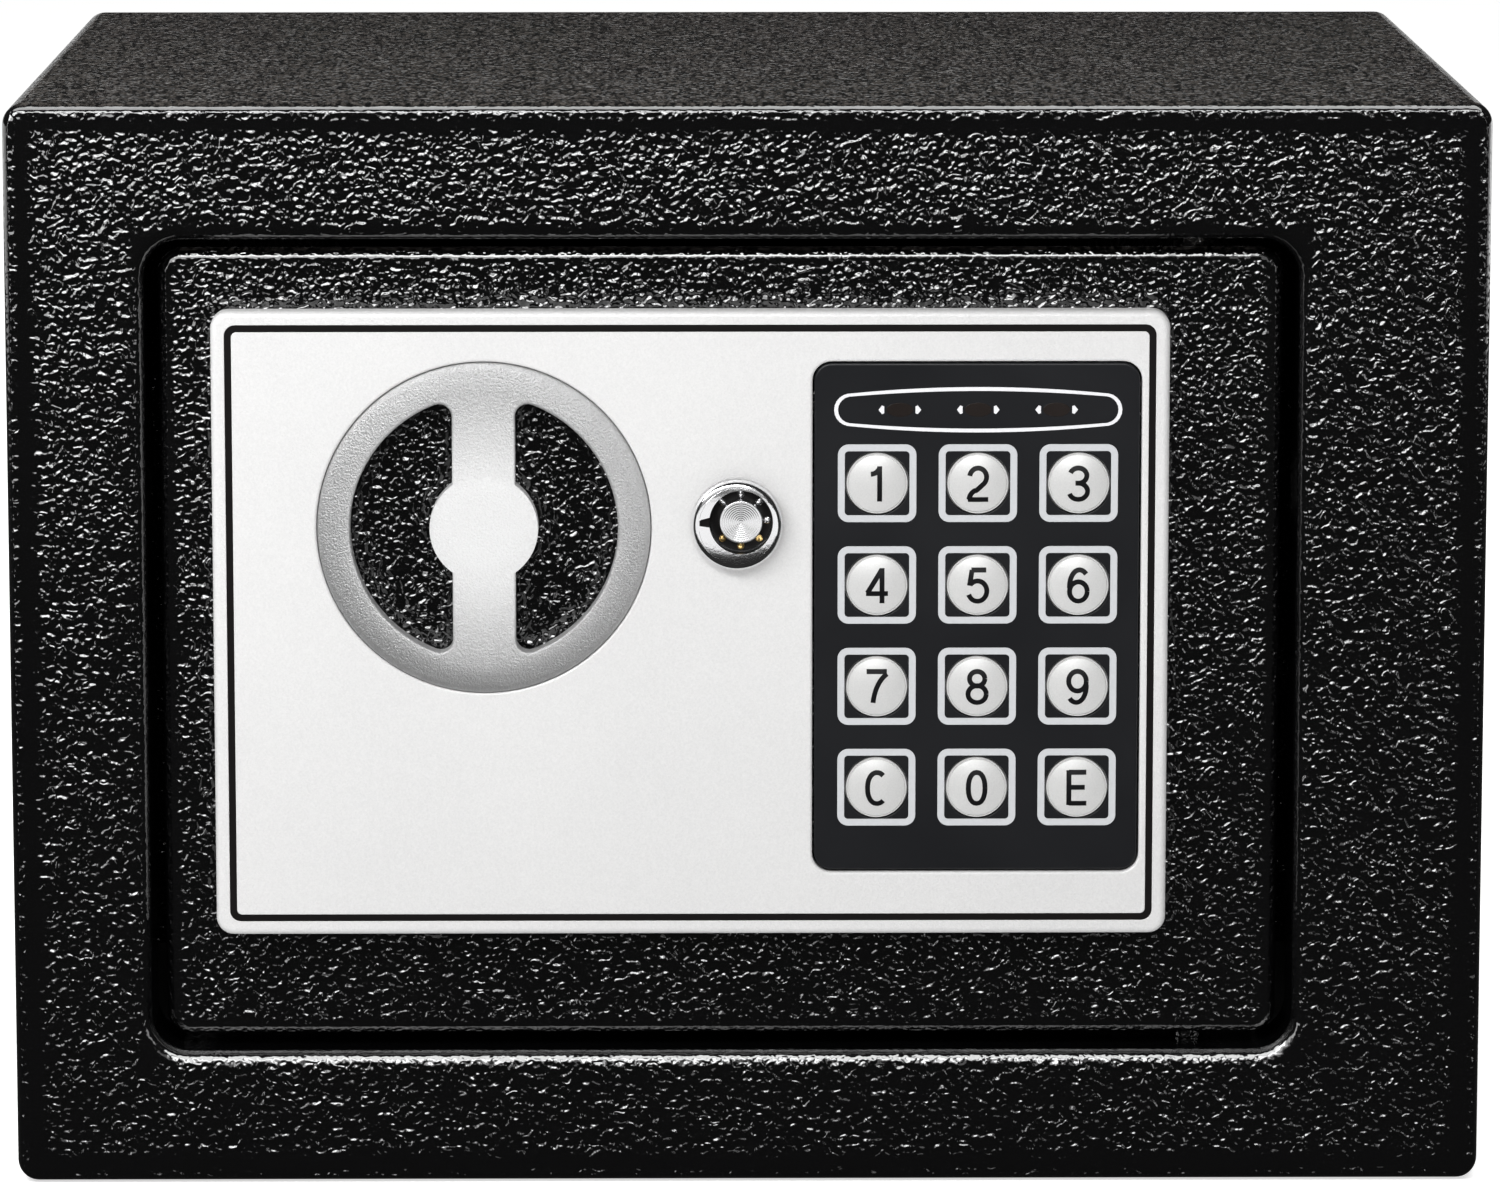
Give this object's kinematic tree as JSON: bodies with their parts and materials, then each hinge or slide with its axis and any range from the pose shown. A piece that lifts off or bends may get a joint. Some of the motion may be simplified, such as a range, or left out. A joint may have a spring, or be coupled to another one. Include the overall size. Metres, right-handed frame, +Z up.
{
  "type": "electronic safe",
  "caption": "Small steel safe with a recessed hinged door, keypad, turn knob that throws two bolts, and a barrel override lock.",
  "frame": {"origin": "middle of the bottom of the whole object's bounding box", "axes": "+X to the right as one faces the door, -Y out of the door towards the user, +Z up"},
  "size_m": [0.23, 0.1716, 0.17],
  "materials": {
    "case_paint": "gloss hammered powder coat",
    "inner_paint": "satin powder coat",
    "panel_silver": "fine-grained silver paint",
    "knob_silver": "satin metallic paint",
    "keypad_black": "satin",
    "key_silver": "satin metallic",
    "lens_smoke": "gloss smoke",
    "led_red": "gloss",
    "chrome": "polished",
    "zinc_steel": "zinc plated",
    "board_green": "solder mask",
    "nylon": "matt",
    "coil_tape": "tape",
    "black_plastic": "fine grain",
    "cell_wrap": "printed sleeve",
    "reset_red": "gloss",
    "mat_felt": "felt",
    "wire_red": "matt"
  },
  "bodies": {
    "case": {"case_shell": "case_paint", "back_panel": "case_paint", "floor_mat": "mat_felt"},
    "door": {"door_plate": "case_paint", "door_pan": "inner_paint", "hinge_pin_top": "zinc_steel", "hinge_pin_bottom": "zinc_steel", "inner_cover": "inner_paint", "cover_screw_1": "zinc_steel", "cover_screw_2": "zinc_steel", "cover_screw_3": "zinc_steel", "cover_screw_4": "zinc_steel", "face_panel": "panel_silver", "keypad_bezel": "keypad_black", "indicator_lens": "lens_smoke", "keypad_board": "board_green", "lamp_bar": "led_red", "key_mat": "black_plastic", "board_socket": "nylon", "knob_bush": "nylon", "solenoid_frame": "zinc_steel", "solenoid_coil": "coil_tape", "plunger_spring": "zinc_steel", "lock_barrel": "chrome", "lock_nut": "zinc_steel", "battery_tray": "black_plastic", "battery_cell_1": "cell_wrap", "battery_cell_2": "cell_wrap", "battery_cell_3": "cell_wrap", "battery_cell_4": "cell_wrap", "reset_switch": "black_plastic", "battery_lead": "wire_red", "solenoid_lead": "wire_red"},
    "knob_set": {"knob": "knob_silver", "knob_spindle": "zinc_steel", "spindle_clip": "zinc_steel", "crank_arm": "zinc_steel"},
    "bolt_set": {"bolt_carriage": "zinc_steel", "lower_bolt": "chrome", "upper_bolt": "chrome"},
    "blocking_plunger": {"plunger": "zinc_steel"},
    "lock_core": {"lock_plug": "chrome", "lock_cam": "zinc_steel", "cam_nut": "zinc_steel"},
    "battery_door": {"battery_cover": "black_plastic"},
    "reset_cap": {"reset_button": "reset_red"},
    "key_1_cap": {"key_1": "key_silver"},
    "key_2_cap": {"key_2": "key_silver"},
    "key_3_cap": {"key_3": "key_silver"},
    "key_4_cap": {"key_4": "key_silver"},
    "key_5_cap": {"key_5": "key_silver"},
    "key_6_cap": {"key_6": "key_silver"},
    "key_7_cap": {"key_7": "key_silver"},
    "key_8_cap": {"key_8": "key_silver"},
    "key_9_cap": {"key_9": "key_silver"},
    "key_clear_cap": {"key_clear": "key_silver"},
    "key_0_cap": {"key_0": "key_silver"},
    "key_enter_cap": {"key_enter": "key_silver"}
  },
  "joints": [
    {"name": "door_swing", "type": "hinge", "parent": "case", "child": "door", "pos_m": [0.0696, -0.0722, 0.085], "axis": [0, 0, 1], "range_deg": [0, 105]},
    {"name": "knob_turn", "type": "hinge", "parent": "door", "child": "knob_set", "pos_m": [-0.041, -0.0792, 0.104], "axis": [0, -1, 0], "range_deg": [0, 90.1]},
    {"name": "bolt_slide", "type": "slide", "parent": "door", "child": "bolt_set", "axis": [-1, 0, 0], "range_m": [0, 0.012]},
    {"name": "plunger_slide", "type": "slide", "parent": "door", "child": "blocking_plunger", "axis": [0, 0, 1], "range_m": [-0.004, 0], "deforming": ["plunger_spring"]},
    {"name": "lock_turn", "type": "hinge", "parent": "door", "child": "lock_core", "pos_m": [-0.0011, -0.0858, 0.1052], "axis": [0, 1, 0], "range_deg": [0, 90]},
    {"name": "battery_cover_slide", "type": "slide", "parent": "door", "child": "battery_door", "axis": [-1, 0, 0], "range_m": [0, 0.022]},
    {"name": "reset_press", "type": "slide", "parent": "door", "child": "reset_cap", "axis": [0, -1, 0], "range_m": [0, 0.0015], "stiffness_N_per_m": 300},
    {"name": "key_1_press", "type": "slide", "parent": "door", "child": "key_1_cap", "axis": [0, 1, 0], "range_m": [0, 0.0008], "stiffness_N_per_m": 300},
    {"name": "key_2_press", "type": "slide", "parent": "door", "child": "key_2_cap", "axis": [0, 1, 0], "range_m": [0, 0.0008], "stiffness_N_per_m": 300},
    {"name": "key_3_press", "type": "slide", "parent": "door", "child": "key_3_cap", "axis": [0, 1, 0], "range_m": [0, 0.0008], "stiffness_N_per_m": 300},
    {"name": "key_4_press", "type": "slide", "parent": "door", "child": "key_4_cap", "axis": [0, 1, 0], "range_m": [0, 0.0008], "stiffness_N_per_m": 300},
    {"name": "key_5_press", "type": "slide", "parent": "door", "child": "key_5_cap", "axis": [0, 1, 0], "range_m": [0, 0.0008], "stiffness_N_per_m": 300},
    {"name": "key_6_press", "type": "slide", "parent": "door", "child": "key_6_cap", "axis": [0, 1, 0], "range_m": [0, 0.0008], "stiffness_N_per_m": 300},
    {"name": "key_7_press", "type": "slide", "parent": "door", "child": "key_7_cap", "axis": [0, 1, 0], "range_m": [0, 0.0008], "stiffness_N_per_m": 300},
    {"name": "key_8_press", "type": "slide", "parent": "door", "child": "key_8_cap", "axis": [0, 1, 0], "range_m": [0, 0.0008], "stiffness_N_per_m": 300},
    {"name": "key_9_press", "type": "slide", "parent": "door", "child": "key_9_cap", "axis": [0, 1, 0], "range_m": [0, 0.0008], "stiffness_N_per_m": 300},
    {"name": "key_clear_press", "type": "slide", "parent": "door", "child": "key_clear_cap", "axis": [0, 1, 0], "range_m": [0, 0.0008], "stiffness_N_per_m": 300},
    {"name": "key_0_press", "type": "slide", "parent": "door", "child": "key_0_cap", "axis": [0, 1, 0], "range_m": [0, 0.0008], "stiffness_N_per_m": 300},
    {"name": "key_enter_press", "type": "slide", "parent": "door", "child": "key_enter_cap", "axis": [0, 1, 0], "range_m": [0, 0.0008], "stiffness_N_per_m": 300}
  ],
  "couplings": [
    {"joint": "knob_turn", "follows": "bolt_slide", "rad_per_m": 130.9}
  ]
}
